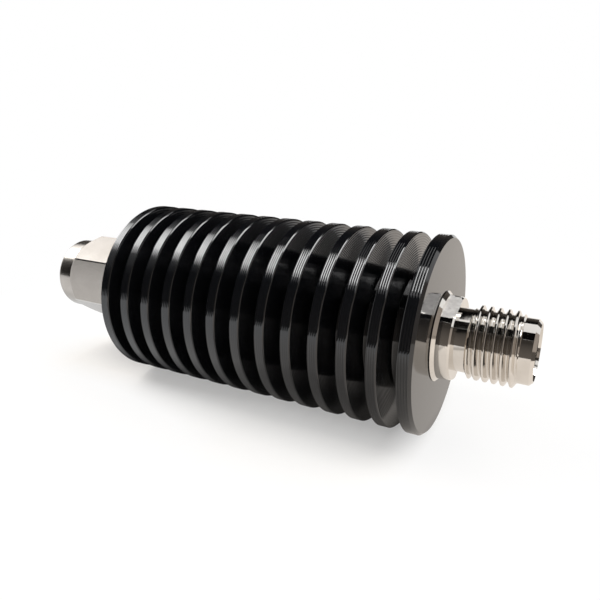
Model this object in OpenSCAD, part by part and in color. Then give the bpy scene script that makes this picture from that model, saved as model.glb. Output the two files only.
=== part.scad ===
// Coaxial fixed attenuator: a finned heat sink with a threaded plug at one end and a threaded jack at the other.
// Millimetres. X runs along the axis from plug to jack, Z is up, and X = 0 is the mating plane of the plug.

/* [Heat sink] */
// Outer diameter of the fins
fin_diameter = 17.4; // [14:0.1:24]
// Number of fins
fin_count = 13; // [9:1:18]
// Distance from one fin to the next
fin_pitch = 2.5; // [2.2:0.05:3.5]
// Thickness of one fin
fin_thickness = 0.9; // [0.7:0.05:1.4]
// Edge break on both rims of a fin
fin_chamfer = 0.08; // [0.04:0.01:0.2]
// Thickness of the last fin, on the jack's side
end_fin_thickness = 1.15; // [0.9:0.05:1.6]
// Edge break round the heat sink's face on the jack's side
end_fin_chamfer = 0.25; // [0.1:0.05:0.4]
// Diameter of the core between the fins
core_diameter = 10.4; // [9:0.1:13]
// Diameter of the bore right through the core
bore_diameter = 7; // [6.8:0.05:7.4]

/* [Connector bodies] */
// Diameter of the conical foot that rests against the heat sink
foot_diameter = 7.9; // [7.5:0.05:8.4]
// Length of that foot
foot_length = 0.35; // [0.2:0.05:0.6]
// Diameter of the wrench collars
collar_diameter = 7.3; // [7:0.05:7.4]
// Distance across the two wrench flats of a collar
collar_flats = 6.6; // [6.3:0.05:6.8]
// Angle of the jack's wrench flats about the axis
jack_flats_turn = 108; // [0:1:179]
// Angle of the plug's wrench flats about the axis
plug_flats_turn = 90; // [0:1:179]
// Edge break on the collars
collar_chamfer = 0.15; // [0.05:0.05:0.25]
// Bore of the two bodies at their outer ends
line_diameter = 4.1; // [3.9:0.05:4.3]
// Bore of the two bodies inside the heat sink
inner_line_diameter = 5.4; // [5:0.05:5.6]
// Depth of the step between the two bores, measured outwards from the heat sink's end
line_step = 0.6; // [0.3:0.1:0.8]

/* [Jack] */
// Length of the jack's collar
jack_collar_length = 1.15; // [0.9:0.05:2]
// Length of the relief behind the thread
relief_length = 1; // [0.6:0.05:1.5]
// Diameter of the relief
relief_diameter = 5.44; // [5.2:0.02:5.6]
// Outer diameter of the thread
thread_diameter = 6.35; // [6.1:0.01:6.5]
// Length of the threaded barrel
thread_length = 4.1; // [3:0.1:6]
// Lead-in at both ends of the thread
thread_lead = 0.3; // [0.2:0.05:0.4]
// Diameter of the plain pilot in front of the thread
pilot_diameter = 5.44; // [5.2:0.02:5.6]
// Length of the pilot
pilot_length = 1.2; // [0.8:0.05:1.6]
// Edge break round the front of the pilot
pilot_chamfer = 0.28; // [0.1:0.01:0.3]
// Diameter of the mouth that takes the mating ferrule
mouth_diameter = 4.63; // [4.5:0.01:4.7]
// Depth of the mouth down to the mating plane
mouth_depth = 1.93; // [1.7:0.01:2.2]

/* [Plug] */
// Diameter of the ferrule that enters the mating jack
ferrule_diameter = 4.55; // [4.5:0.01:4.62]
// Length of the ferrule
ferrule_length = 2.5; // [2.2:0.05:3]
// Diameter of the neck that carries the nut
neck_diameter = 6; // [5.8:0.05:6.2]
// Length of the neck
neck_length = 3.5; // [3.3:0.05:4.5]
// Length of the plug's collar
plug_collar_length = 1.9; // [1.2:0.1:2.5]
// Thickness of the flat gasket
gasket_thickness = 0.75; // [0.5:0.05:1]
// Outer diameter of the gasket
gasket_diameter = 6.1; // [5.6:0.05:6.3]

/* [Retaining ring] */
// Depth of the ring groove in the neck
ring_groove_depth = 0.45; // [0.35:0.01:0.5]
// Width of the ring along the axis
ring_width = 0.6; // [0.4:0.05:0.8]
// Radial thickness of the ring
ring_thickness = 0.62; // [0.55:0.01:0.66]
// Opening of the split ring
ring_gap = 1; // [0.5:0.1:2]
// Distance from the shoulder of the neck to the middle of the ring
ring_setback = 1.45; // [1.3:0.05:1.6]

/* [Coupling nut] */
// Distance across the flats of the hexagon
nut_flats = 8; // [7.8:0.05:9]
// Length by which the nut reaches past the mating plane
nut_reach = 3.45; // [2.6:0.05:3.6]
// Gap between the back of the nut and the collar behind it
nut_gap = 0.4; // [0.2:0.05:0.6]
// Diameter of the round collar at the front of the nut
nut_collar_diameter = 7.7; // [7.3:0.05:7.75]
// Length of that round collar
nut_collar_length = 1.85; // [0.8:0.05:2.2]
// Edge break round the front of the nut
nut_nose = 0.3; // [0.1:0.05:0.4]
// Angle between the axis and the turned chamfer in front of the hexagon
nut_chamfer_angle = 38; // [25:1:50]
// Angle between the axis and the turned chamfer behind the hexagon
nut_back_angle = 60; // [45:1:70]
// Bore inside the nut's thread
nut_thread_bore = 5.7; // [5.6:0.01:5.8]
// Length of the nut's thread behind its lead-in
nut_thread_length = 4.1; // [3:0.1:4.4]
// Lead-in of the nut's thread
nut_lead = 0.4; // [0.2:0.05:0.5]
// Diameter of the space round the gasket
nut_relief_diameter = 6.6; // [6.5:0.05:6.8]
// Depth of that space behind the shoulder of the neck
nut_relief_overlap = 0.2; // [0.1:0.05:0.4]
// Depth of the ring groove inside the nut
nut_groove_depth = 0.3; // [0.25:0.01:0.35]
// Play of the ring along the axis in the nut's groove
nut_groove_play = 0.3; // [0.1:0.05:0.4]
// Angle of the hexagon about the axis
nut_turn = 22; // [0:1:59]

/* [Centre conductors] */
// Diameter of the conductors at the outer ends
contact_diameter = 1.27; // [1.2:0.01:1.35]
// Diameter of the conductors inside the heat sink
inner_contact_diameter = 1.7; // [1.5:0.01:1.8]
// Distance from the step of the bore to the step of the conductor
contact_step = 0.5; // [0.3:0.05:1]
// Diameter of the plug's pin
pin_diameter = 0.92; // [0.88:0.01:0.94]
// Length by which the pin reaches past the mating plane
pin_reach = 2.4; // [2:0.05:2.5]
// Length of the pointed end of the pin
pin_point = 0.5; // [0.3:0.05:0.8]
// Diameter of the pin's flat tip
pin_tip = 0.4; // [0.2:0.05:0.6]
// Bore of the jack's socket
socket_bore = 0.94; // [0.9:0.01:1]
// Depth of the socket
socket_depth = 2.9; // [2.6:0.05:3.4]
// Width of the slots between the socket's fingers
socket_slot = 0.2; // [0.1:0.02:0.3]
// Length of those slots
socket_slot_length = 2.2; // [1.8:0.05:2.5]
// Length by which the conductors reach past their insulators towards the chip
contact_overrun = 0.6; // [0.4:0.05:0.8]

/* [Attenuator chip] */
// Length of the carrier that clamps the chip
carrier_length = 12; // [11.6:0.1:14]
// Height of the free space above the axis in the carrier
channel_height = 1.6; // [1.3:0.05:2]
// Length of the chip
chip_length = 9; // [8:0.1:9.6]
// Width of the chip
chip_width = 4.6; // [4:0.05:4.8]
// Thickness of the chip
chip_thickness = 1; // [0.6:0.05:1.2]
// Thickness of the printed films and of the solder
film_thickness = 0.05; // [0.03:0.01:0.08]
// Length of a terminal on the chip
terminal_length = 1.2; // [1:0.05:1.6]
// Width of a terminal on the chip
terminal_width = 1.2; // [0.9:0.05:1.6]
// Width of the ground strips on top of the chip
ground_width = 0.5; // [0.3:0.05:0.7]
// Border of the film left free by the glaze
glaze_border = 0.1; // [0.05:0.01:0.2]
// Thickness of the contact tabs
tab_thickness = 0.15; // [0.1:0.01:0.2]
// Width of the contact tabs
tab_width = 0.8; // [0.6:0.05:0.9]
// Length of a tab inside its conductor
tab_insertion = 1.2; // [0.8:0.05:1.6]
// Length of a tab on its terminal
tab_landing = 1; // [0.6:0.05:1]

/* [Fits] */
// Clearance between fitted pieces, on the radius or on one face
seat_clearance = 0.02; // [0.01:0.005:0.03]
// Clearance between the nut and the neck it turns on, on the radius
running_clearance = 0.05; // [0.03:0.01:0.08]

/* [Hidden] */
$fn = 96;
HEX_SIDES = 6;
// Length by which a cutting shape passes the surface it cuts
CUT = 1;

// Places along the axis
neck_end = ferrule_length + neck_length;
plug_collar_end = neck_end + plug_collar_length;
sink_start = plug_collar_end + foot_length;
sink_length = (fin_count - 1) * fin_pitch + end_fin_thickness;
sink_end = sink_start + sink_length;
sink_middle = (sink_start + sink_end) / 2;
carrier_start = sink_middle - carrier_length / 2;
carrier_end = sink_middle + carrier_length / 2;
jack_foot_end = sink_end + foot_length;
jack_collar_end = jack_foot_end + jack_collar_length;
thread_start = jack_collar_end + relief_length;
thread_end = thread_start + thread_length;
jack_front = thread_end + pilot_length;
jack_plane = jack_front - mouth_depth;
plug_step = sink_start - line_step;
jack_step = sink_end + line_step;
ring_middle = ferrule_length + ring_setback;
nut_front = -nut_reach;
nut_back = neck_end - nut_gap;
nut_hex_start = nut_front + nut_collar_length;
nut_thread_start = nut_front + nut_lead;
nut_thread_end = nut_thread_start + nut_thread_length;
nut_relief_end = ferrule_length + nut_relief_overlap;
plug_pin_step = plug_step + contact_step;
jack_contact_step = jack_step - contact_step;
plug_pin_end = carrier_start + contact_overrun;
jack_contact_end = carrier_end - contact_overrun;
chip_start = sink_middle - chip_length / 2;
chip_end = sink_middle + chip_length / 2;

// Radii
bore_r = bore_diameter / 2;
core_r = core_diameter / 2;
fin_r = fin_diameter / 2;
shank_r = bore_r - seat_clearance;
line_r = line_diameter / 2;
inner_line_r = inner_line_diameter / 2;
neck_r = neck_diameter / 2;
ring_groove_r = neck_r - ring_groove_depth;
ring_inner_r = ring_groove_r + seat_clearance;
nut_bore_r = neck_r + running_clearance;
nut_groove_r = nut_bore_r + nut_groove_depth;
nut_corner_r = nut_flats / 2 / cos(180 / HEX_SIDES);
nut_collar_r = nut_collar_diameter / 2;
contact_r = contact_diameter / 2;
inner_contact_r = inner_contact_diameter / 2;

// Heights inside the carrier: the tabs lie on the axis, and the chip hangs below them
film_top = -tab_thickness / 2;
chip_top = film_top - film_thickness;
chip_bottom = chip_top - chip_thickness;
split_height = chip_bottom - film_thickness;
channel_half_width = chip_width / 2 + film_thickness + seat_clearance;
slot_height = tab_thickness + 2 * seat_clearance;

// Turns a half section, given as [place along the axis, radius], about X.
module turned(section) {
    rotate([0, 90, 0])
        rotate_extrude()
            polygon([for (p = section) [p[1], p[0]]]);
}

// A plain rod along X.
module rod(from, to, r) {
    translate([from, 0, 0])
        rotate([0, 90, 0])
            cylinder(h = to - from, r = r);
}

// A box given by its two ends along X, its half width and its two heights.
module slab(from, to, half_width, low, high) {
    translate([from, -half_width, low])
        cube([to - from, 2 * half_width, high - low]);
}

// The two flats of a wrench collar, as the material that is cut away.
module flat_cuts(from, to, turn) {
    depth = (collar_diameter - collar_flats) / 2 + CUT;
    width = collar_diameter + 2 * CUT;
    for (side = [0, 180])
        rotate([turn + side, 0, 0])
            translate([from, collar_flats / 2, -width / 2])
                cube([to - from, depth, width]);
}

// Half section of one fin: root, edge break, rim, edge break, root.
function fin_point(i, k) =
    let (last = i == fin_count - 1,
         x = sink_start + i * fin_pitch,
         b = fin_chamfer,
         c = last ? end_fin_chamfer : fin_chamfer,
         t = last ? end_fin_thickness : fin_thickness)
    [[x, core_r], [x, fin_r - b], [x + b, fin_r], [x + t - c, fin_r], [x + t, fin_r - c], [x + t, core_r]][k];

module heat_sink() {
    last = fin_count - 1;
    fins = [for (i = [0:last], k = [0:5])
        if (!(i == 0 && k == 0) && !(i == last && k == 5)) fin_point(i, k)];
    color([0.03, 0.03, 0.035])
        turned(concat([[sink_start, bore_r]], fins, [[sink_end, bore_r]]));
}

module jack_body() {
    color([0.78, 0.76, 0.73])
        difference() {
            turned([
                [carrier_end, inner_line_r + seat_clearance],
                [carrier_end, shank_r],
                [sink_end, shank_r],
                [sink_end, foot_diameter / 2],
                [jack_foot_end, collar_diameter / 2],
                [jack_collar_end - collar_chamfer, collar_diameter / 2],
                [jack_collar_end, collar_diameter / 2 - collar_chamfer],
                [jack_collar_end, relief_diameter / 2],
                [thread_start, relief_diameter / 2],
                [thread_start + thread_lead, thread_diameter / 2],
                [thread_end - thread_lead, thread_diameter / 2],
                [thread_end, pilot_diameter / 2],
                [jack_front - pilot_chamfer, pilot_diameter / 2],
                [jack_front, pilot_diameter / 2 - pilot_chamfer],
                [jack_front, mouth_diameter / 2],
                [jack_plane, mouth_diameter / 2],
                [jack_plane, line_r + seat_clearance],
                [jack_step, line_r + seat_clearance],
                [jack_step, inner_line_r + seat_clearance]
            ]);
            flat_cuts(jack_foot_end, jack_collar_end, jack_flats_turn);
        }
}

module jack_insulator() {
    color([0.93, 0.92, 0.88])
        turned([
            [carrier_end, inner_contact_r + seat_clearance],
            [carrier_end, inner_line_r],
            [jack_step, inner_line_r],
            [jack_step, line_r],
            [jack_plane, line_r],
            [jack_plane, contact_r + seat_clearance],
            [jack_contact_step, contact_r + seat_clearance],
            [jack_contact_step, inner_contact_r + seat_clearance]
        ]);
}

module jack_contact() {
    color([0.83, 0.66, 0.30])
        difference() {
            union() {
                rod(jack_contact_step, jack_plane, contact_r);
                rod(jack_contact_end, jack_contact_step, inner_contact_r);
            }
            rod(jack_plane - socket_depth, jack_plane + CUT, socket_bore / 2);
            for (turn = [0, 90])
                rotate([turn, 0, 0])
                    slab(jack_plane - socket_slot_length, jack_plane + CUT, socket_slot / 2, -contact_r - CUT, contact_r + CUT);
            slab(jack_contact_end - CUT, jack_contact_end + tab_insertion, inner_contact_r + CUT,
                 -slot_height / 2, slot_height / 2);
        }
}

module plug_body() {
    ring_half = ring_width / 2 + seat_clearance;
    color([0.78, 0.76, 0.73])
        difference() {
            turned([
                [0, line_r + seat_clearance],
                [0, ferrule_diameter / 2],
                [ferrule_length, ferrule_diameter / 2],
                [ferrule_length, neck_r],
                [ring_middle - ring_half, neck_r],
                [ring_middle - ring_half, ring_groove_r],
                [ring_middle + ring_half, ring_groove_r],
                [ring_middle + ring_half, neck_r],
                [neck_end, neck_r],
                [neck_end, collar_diameter / 2 - collar_chamfer],
                [neck_end + collar_chamfer, collar_diameter / 2],
                [plug_collar_end, collar_diameter / 2],
                [sink_start, foot_diameter / 2],
                [sink_start, shank_r],
                [carrier_start, shank_r],
                [carrier_start, inner_line_r + seat_clearance],
                [plug_step, inner_line_r + seat_clearance],
                [plug_step, line_r + seat_clearance]
            ]);
            flat_cuts(neck_end, plug_collar_end, plug_flats_turn);
        }
}

module plug_insulator() {
    color([0.93, 0.92, 0.88])
        turned([
            [0, contact_r + seat_clearance],
            [0, line_r],
            [plug_step, line_r],
            [plug_step, inner_line_r],
            [carrier_start, inner_line_r],
            [carrier_start, inner_contact_r + seat_clearance],
            [plug_pin_step, inner_contact_r + seat_clearance],
            [plug_pin_step, contact_r + seat_clearance]
        ]);
}

module plug_pin() {
    color([0.83, 0.66, 0.30])
        difference() {
            turned([
                [-pin_reach, 0],
                [-pin_reach, pin_tip / 2],
                [-pin_reach + pin_point, pin_diameter / 2],
                [0, pin_diameter / 2],
                [0, contact_r],
                [plug_pin_step, contact_r],
                [plug_pin_step, inner_contact_r],
                [plug_pin_end, inner_contact_r],
                [plug_pin_end, 0]
            ]);
            slab(plug_pin_end - tab_insertion, plug_pin_end + CUT, inner_contact_r + CUT,
                 -slot_height / 2, slot_height / 2);
        }
}

module plug_gasket() {
    color([0.72, 0.27, 0.16])
        difference() {
            rod(ferrule_length - gasket_thickness, ferrule_length, gasket_diameter / 2);
            rod(ferrule_length - gasket_thickness - CUT, ferrule_length + CUT, ferrule_diameter / 2 + seat_clearance);
        }
}

module nut_retaining_ring() {
    ring_outer_r = ring_inner_r + ring_thickness;
    from = ring_middle - ring_width / 2;
    to = ring_middle + ring_width / 2;
    color([0.80, 0.62, 0.35])
        difference() {
            rod(from, to, ring_outer_r);
            rod(from - CUT, to + CUT, ring_inner_r);
            slab(from - CUT, to + CUT, ring_gap / 2, 0, ring_outer_r + CUT);
        }
}

module coupling_nut() {
    blank_r = nut_corner_r + CUT;
    front_run = (blank_r - nut_collar_r) / tan(nut_chamfer_angle);
    back_run = (blank_r - nut_collar_r) / tan(nut_back_angle);
    groove_half = (ring_width + nut_groove_play) / 2;
    color([0.78, 0.76, 0.73])
        difference() {
            intersection() {
                turned([
                    [nut_front, 0],
                    [nut_front, nut_collar_r - nut_nose],
                    [nut_front + nut_nose, nut_collar_r],
                    [nut_hex_start, nut_collar_r],
                    [nut_hex_start + front_run, blank_r],
                    [nut_back - back_run, blank_r],
                    [nut_back, nut_collar_r],
                    [nut_back, 0]
                ]);
                rotate([nut_turn, 0, 0])
                    rotate([0, 90, 0])
                        rotate([0, 0, 90])
                            translate([0, 0, nut_front - CUT])
                                cylinder(h = nut_back - nut_front + 2 * CUT, r = nut_corner_r, $fn = HEX_SIDES);
            }
            turned([
                [nut_front - CUT, 0],
                [nut_front - CUT, nut_thread_bore / 2 + nut_lead + CUT],
                [nut_thread_start, nut_thread_bore / 2],
                [nut_thread_end, nut_thread_bore / 2],
                [nut_thread_end, nut_relief_diameter / 2],
                [nut_relief_end, nut_relief_diameter / 2],
                [nut_relief_end, nut_bore_r],
                [ring_middle - groove_half, nut_bore_r],
                [ring_middle - groove_half, nut_groove_r],
                [ring_middle + groove_half, nut_groove_r],
                [ring_middle + groove_half, nut_bore_r],
                [nut_back + CUT, nut_bore_r],
                [nut_back + CUT, 0]
            ]);
        }
}

module carrier_base() {
    color([0.75, 0.60, 0.32])
        intersection() {
            rod(carrier_start, carrier_end, shank_r);
            slab(carrier_start, carrier_end, shank_r, -shank_r, split_height);
        }
}

module carrier_cover() {
    color([0.75, 0.60, 0.32])
        difference() {
            intersection() {
                rod(carrier_start, carrier_end, shank_r);
                slab(carrier_start, carrier_end, shank_r, split_height, shank_r);
            }
            slab(carrier_start - CUT, carrier_end + CUT, channel_half_width, split_height - CUT, channel_height);
        }
}

module attenuator_chip() {
    color([0.90, 0.89, 0.84])
        slab(chip_start, chip_end, chip_width / 2, chip_bottom, chip_top);
}

module chip_solder() {
    color([0.66, 0.66, 0.66])
        slab(chip_start, chip_end, chip_width / 2, split_height, chip_bottom);
}

module resistor_film() {
    color([0.12, 0.12, 0.13])
        slab(chip_start + terminal_length, chip_end - terminal_length, chip_width / 2 - ground_width, chip_top, film_top);
}

module film_glaze() {
    color([0.10, 0.25, 0.20])
        slab(chip_start + terminal_length + glaze_border, chip_end - terminal_length - glaze_border,
             chip_width / 2 - ground_width - glaze_border, film_top, film_top + film_thickness);
}

// A film pad at one end of the chip.
module terminal(from) {
    color([0.80, 0.80, 0.78])
        slab(from, from + terminal_length, terminal_width / 2, chip_top, film_top);
}

module input_terminal() {
    terminal(chip_start);
}

module output_terminal() {
    terminal(chip_end - terminal_length);
}

// A film along one long edge of the chip, folded down its side.
module ground_strip() {
    color([0.80, 0.80, 0.78])
        union() {
            translate([chip_start, chip_width / 2 - ground_width, chip_top])
                cube([chip_length, ground_width + film_thickness, film_thickness]);
            translate([chip_start, chip_width / 2, chip_bottom])
                cube([chip_length, film_thickness, chip_thickness + film_thickness]);
        }
}

module front_ground_strip() {
    mirror([0, 1, 0])
        ground_strip();
}

module rear_ground_strip() {
    ground_strip();
}

// A thin spring between a slotted conductor and a terminal.
module tab(from, to) {
    color([0.83, 0.66, 0.30])
        slab(from, to, tab_width / 2, -tab_thickness / 2, tab_thickness / 2);
}

module input_tab() {
    tab(plug_pin_end - tab_insertion, chip_start + tab_landing);
}

module output_tab() {
    tab(chip_end - tab_landing, jack_contact_end + tab_insertion);
}

heat_sink();
jack_body();
jack_insulator();
jack_contact();
plug_body();
plug_insulator();
plug_pin();
plug_gasket();
nut_retaining_ring();
coupling_nut();
carrier_base();
carrier_cover();
attenuator_chip();
chip_solder();
resistor_film();
film_glaze();
input_terminal();
output_terminal();
front_ground_strip();
rear_ground_strip();
input_tab();
output_tab();
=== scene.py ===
"""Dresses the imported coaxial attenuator: a turned black heat sink between a plated plug and a plated jack."""

import logging
import math
from dataclasses import dataclass
from enum import Enum, IntEnum
from typing import Callable, Sequence

import bmesh
import bpy
import numpy as np
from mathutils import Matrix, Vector

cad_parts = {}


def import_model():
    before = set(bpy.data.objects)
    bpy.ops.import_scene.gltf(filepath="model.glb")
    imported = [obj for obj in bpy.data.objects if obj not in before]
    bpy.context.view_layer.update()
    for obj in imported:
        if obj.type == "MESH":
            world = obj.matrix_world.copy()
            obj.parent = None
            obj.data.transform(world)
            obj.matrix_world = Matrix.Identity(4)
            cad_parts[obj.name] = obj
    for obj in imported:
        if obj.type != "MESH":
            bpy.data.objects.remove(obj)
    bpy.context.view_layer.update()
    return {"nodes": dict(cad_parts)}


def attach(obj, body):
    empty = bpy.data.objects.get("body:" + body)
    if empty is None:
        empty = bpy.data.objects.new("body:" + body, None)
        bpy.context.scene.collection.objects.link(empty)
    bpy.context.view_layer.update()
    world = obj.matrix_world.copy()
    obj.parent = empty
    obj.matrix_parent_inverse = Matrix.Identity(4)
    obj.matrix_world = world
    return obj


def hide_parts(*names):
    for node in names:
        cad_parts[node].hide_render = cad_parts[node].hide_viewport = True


LOG = logging.getLogger("attenuator")
MM = 0.001
TAU = 2.0 * math.pi
MERGE = 1.5e-6
SLIVER = 0.1 * MERGE
TINY = 1e-6
NOISE_RANGE = (0.3, 0.7)
MIX_LOW, MIX_HIGH, MIX_RESULT = 6, 7, 2  # the colour sockets of a Mix node
SHARP_DEGREES = 18.0
ROOT_BODY = "attenuator"
NUT_BODY = "coupling_nut"

Row = tuple[np.ndarray, np.ndarray]
Pair = tuple[float, float]
Triple = tuple[float, float, float]
Socket = bpy.types.NodeSocket
Material = bpy.types.Material
Object = bpy.types.Object


class Hand(Enum):
    """Which side of the metal a thread is cut on."""

    OUTSIDE = 1.0
    INSIDE = -1.0


class Seen(Enum):
    """Which rays a studio object answers to."""

    BY_ALL = "all"
    IN_GLOSS = "gloss"
    OUT_OF_GLOSS = "all but gloss"


class Slot(IntEnum):
    """The material slots of a turned piece."""

    TURNED = 0
    FLATS = 1
    EDGES = 2


# Shader and mesh helpers


class NodeSketch:
    """A small wrapper that adds and links nodes in one tree."""

    def __init__(self, tree: bpy.types.NodeTree) -> None:
        """Keeps the tree that the nodes go into."""
        self.tree = tree

    def add(self, kind: str, **values: object) -> bpy.types.Node:
        """Adds a node and sets its properties.

        Args:
            kind: Blender's name of the node type.
            values: properties of the node, by name.

        Returns:
            The new node.
        """
        node = self.tree.nodes.new(kind)
        for name, value in values.items():
            setattr(node, name, value)
        return node

    def feed(self, node: bpy.types.Node, values: dict[str | int, object]) -> bpy.types.Node:
        """Links or sets inputs of a node.

        Args:
            node: the node.
            values: sockets or plain values, by the input's name or number.

        Returns:
            The same node.
        """
        for key, value in values.items():
            if isinstance(value, Socket):
                self.tree.links.new(value, node.inputs[key])
            else:
                node.inputs[key].default_value = value
        return node

    def math(self, operation: str, *inputs: object, clamp: bool = False) -> Socket:
        """Adds a Math node.

        Args:
            operation: the operation's name.
            inputs: sockets or numbers, in order.
            clamp: whether the result is kept between 0 and 1.

        Returns:
            The result's socket.
        """
        node = self.add("ShaderNodeMath", operation=operation, use_clamp=clamp)
        return self.feed(node, dict(enumerate(inputs))).outputs[0]

    def noise(self, vector: Socket, scale: float, detail: float, roughness: float = 0.5) -> Socket:
        """Adds a noise texture.

        Args:
            vector: where the noise is read.
            scale: its fineness.
            detail: its octaves.
            roughness: the weight of the finer octaves.

        Returns:
            The noise's value, about 0 to 1.
        """
        node = self.feed(self.add("ShaderNodeTexNoise"), {
            "Vector": vector, "Scale": scale, "Detail": detail, "Roughness": roughness})
        return node.outputs["Fac"]

    def spread(self, value: Socket, low: float, high: float, start: float = 0.0, end: float = 1.0) -> Socket:
        """Maps a value from one range to another.

        Args:
            value: the socket to map.
            low: result at the start.
            high: result at the end.
            start: lower end of the input range.
            end: upper end of the input range.

        Returns:
            The mapped socket.
        """
        node = self.feed(self.add("ShaderNodeMapRange"), {
            "Value": value, "From Min": start, "From Max": end, "To Min": low, "To Max": high})
        return node.outputs["Result"]

    def ramp(self, value: Socket, low: float, high: float, run: Pair) -> Socket:
        """Maps a length, from low to high over a run in millimetres."""
        return self.spread(value, low, high, run[0] * MM, run[1] * MM)

    def blend(self, factor: Socket, low: Triple, high: Triple) -> Socket:
        """Mixes two colours.

        Args:
            factor: 0 for the first, 1 for the second.
            low: the first colour.
            high: the second colour.

        Returns:
            The mixed colour.
        """
        node = self.add("ShaderNodeMix", data_type="RGBA")
        self.feed(node, {0: factor, MIX_LOW: (*low, 1.0), MIX_HIGH: (*high, 1.0)})
        return node.outputs[MIX_RESULT]

    def place(self) -> Socket:
        """Returns the object's own coordinates."""
        return self.add("ShaderNodeTexCoord").outputs["Object"]

    def split(self, vector: Socket) -> tuple[Socket, ...]:
        """Returns the X, Y and Z of a vector."""
        return tuple(self.feed(self.add("ShaderNodeSeparateXYZ"), {0: vector}).outputs)

    def join(self, *parts: Socket) -> Socket:
        """Returns the vector of the given X, Y and Z."""
        return self.feed(self.add("ShaderNodeCombineXYZ"), dict(enumerate(parts))).outputs[0]

    def length(self, a: Socket, b: Socket) -> Socket:
        """Returns the square root of the sum of two squares."""
        return self.math("SQRT", self.math("ADD", self.math("MULTIPLY", a, a), self.math("MULTIPLY", b, b)))

    def turned_place(self) -> Socket:
        """Returns (distance along the axis, radius, 0), which is the same all the way round a turned piece."""
        x, y, z = self.split(self.place())
        return self.join(x, self.length(y, z))

    def bump(self, height: Socket, distance: float) -> Socket:
        """Adds a bump node.

        Args:
            height: the height, as a share of the distance.
            distance: depth in metres.

        Returns:
            The bent normal.
        """
        node = self.feed(self.add("ShaderNodeBump"), {"Strength": 1.0, "Distance": distance, "Height": height})
        return node.outputs["Normal"]


def new_material(name: str) -> tuple[Material, NodeSketch, bpy.types.Node]:
    """Starts a material.

    Args:
        name: the material's name.

    Returns:
        The material, its node sketch and its Principled shader.
    """
    material = bpy.data.materials.new(name)
    material.use_nodes = True
    sketch = NodeSketch(material.node_tree)
    shader = material.node_tree.nodes["Principled BSDF"]
    return material, sketch, shader


def strip_faces(mesh: bmesh.types.BMesh, rows: Sequence[Row], angles: np.ndarray) -> None:
    """Adds a tube of quads between rows of points round the X axis.

    Args:
        mesh: the mesh that takes the faces.
        rows: for each row the places along the axis and the radii, one per angle.
        angles: the angles from +Y towards +Z.
    """
    cos, sin = np.cos(angles), np.sin(angles)
    grid = [[mesh.verts.new((x, r * c, r * s)) for x, r, c, s in zip(xs, rs, cos, sin)] for xs, rs in rows]
    count = len(angles)
    for near, far in zip(grid, grid[1:]):
        for j in range(count):
            k = (j + 1) % count
            mesh.faces.new((near[j], near[k], far[k], far[j]))


def even_angles(count: int) -> np.ndarray:
    """Returns evenly spaced angles round the axis."""
    return np.linspace(0.0, TAU, count, endpoint=False)


def rings(points: Sequence[Pair], angles: np.ndarray) -> list[Row]:
    """Returns a plain ring for each place along the axis and radius, in millimetres turned to metres."""
    return [(np.full(len(angles), x * MM), np.full(len(angles), r * MM)) for x, r in points]


def finish_mesh(mesh: bmesh.types.BMesh, name: str, materials: Sequence[Material]) -> Object:
    """Welds, smooths and links a mesh as an object at the origin.

    Args:
        mesh: the mesh, which is freed.
        name: the object's name.
        materials: its materials, in slot order.

    Returns:
        The new object.
    """
    bmesh.ops.remove_doubles(mesh, verts=mesh.verts, dist=MERGE)
    bmesh.ops.dissolve_degenerate(mesh, dist=SLIVER, edges=mesh.edges)
    bmesh.ops.recalc_face_normals(mesh, faces=mesh.faces)
    limit = math.radians(SHARP_DEGREES)
    for face in mesh.faces:
        face.smooth = True
        face.material_index = Slot.TURNED
    for edge in mesh.edges:
        edge.smooth = len(edge.link_faces) == 2 and edge.calc_face_angle(0.0) < limit
    data = bpy.data.meshes.new(name)
    mesh.to_mesh(data)
    mesh.free()
    for material in materials:
        data.materials.append(material)
    piece = bpy.data.objects.new(name, data)
    bpy.context.scene.collection.objects.link(piece)
    return piece


def paint_faces(piece: Object, slot: Slot, chosen: Callable[[Vector, Vector], bool]) -> None:
    """Gives a material slot to the faces that a test picks.

    Args:
        piece: the object.
        slot: the slot.
        chosen: test of a face's middle in millimetres and its normal.
    """
    for face in piece.data.polygons:
        if chosen(face.center / MM, face.normal):
            face.material_index = slot


# Geometry Nodes


class NodeTree:
    """A Geometry Nodes tree with named inputs."""

    def __init__(self, name: str, inputs: Sequence[tuple[str, str]]) -> None:
        """Makes the tree with its geometry input and output and its further inputs.

        Args:
            name: the tree's name.
            inputs: the name and the socket type of each further input.
        """
        self.tree = bpy.data.node_groups.new(name, "GeometryNodeTree")
        face = self.tree.interface
        face.new_socket("Geometry", in_out="INPUT", socket_type="NodeSocketGeometry")
        self.keys = {label: face.new_socket(label, in_out="INPUT", socket_type=kind).identifier
                     for label, kind in inputs}
        face.new_socket("Geometry", in_out="OUTPUT", socket_type="NodeSocketGeometry")
        self.sketch = NodeSketch(self.tree)
        self.start = self.sketch.add("NodeGroupInput")
        self.end = self.sketch.add("NodeGroupOutput")

    def value(self, label: str) -> Socket:
        """Returns the group input of that name."""
        return self.start.outputs[label]

    def realise(self, base: bpy.types.Mesh, values: dict[str, object]) -> bpy.types.Mesh:
        """Runs the tree on a mesh.

        Args:
            base: the mesh that goes in.
            values: the inputs, by name.

        Returns:
            The resulting plain mesh.
        """
        carrier = bpy.data.objects.new(self.tree.name, base)
        bpy.context.scene.collection.objects.link(carrier)
        modifier = carrier.modifiers.new(self.tree.name, "NODES")
        modifier.node_group = self.tree
        for label, value in values.items():
            modifier[self.keys[label]] = value
        bpy.context.view_layer.update()
        graph = bpy.context.evaluated_depsgraph_get()
        result = bpy.data.meshes.new_from_object(carrier.evaluated_get(graph))
        carrier.modifiers.clear()
        bpy.data.objects.remove(carrier)
        return result


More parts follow.
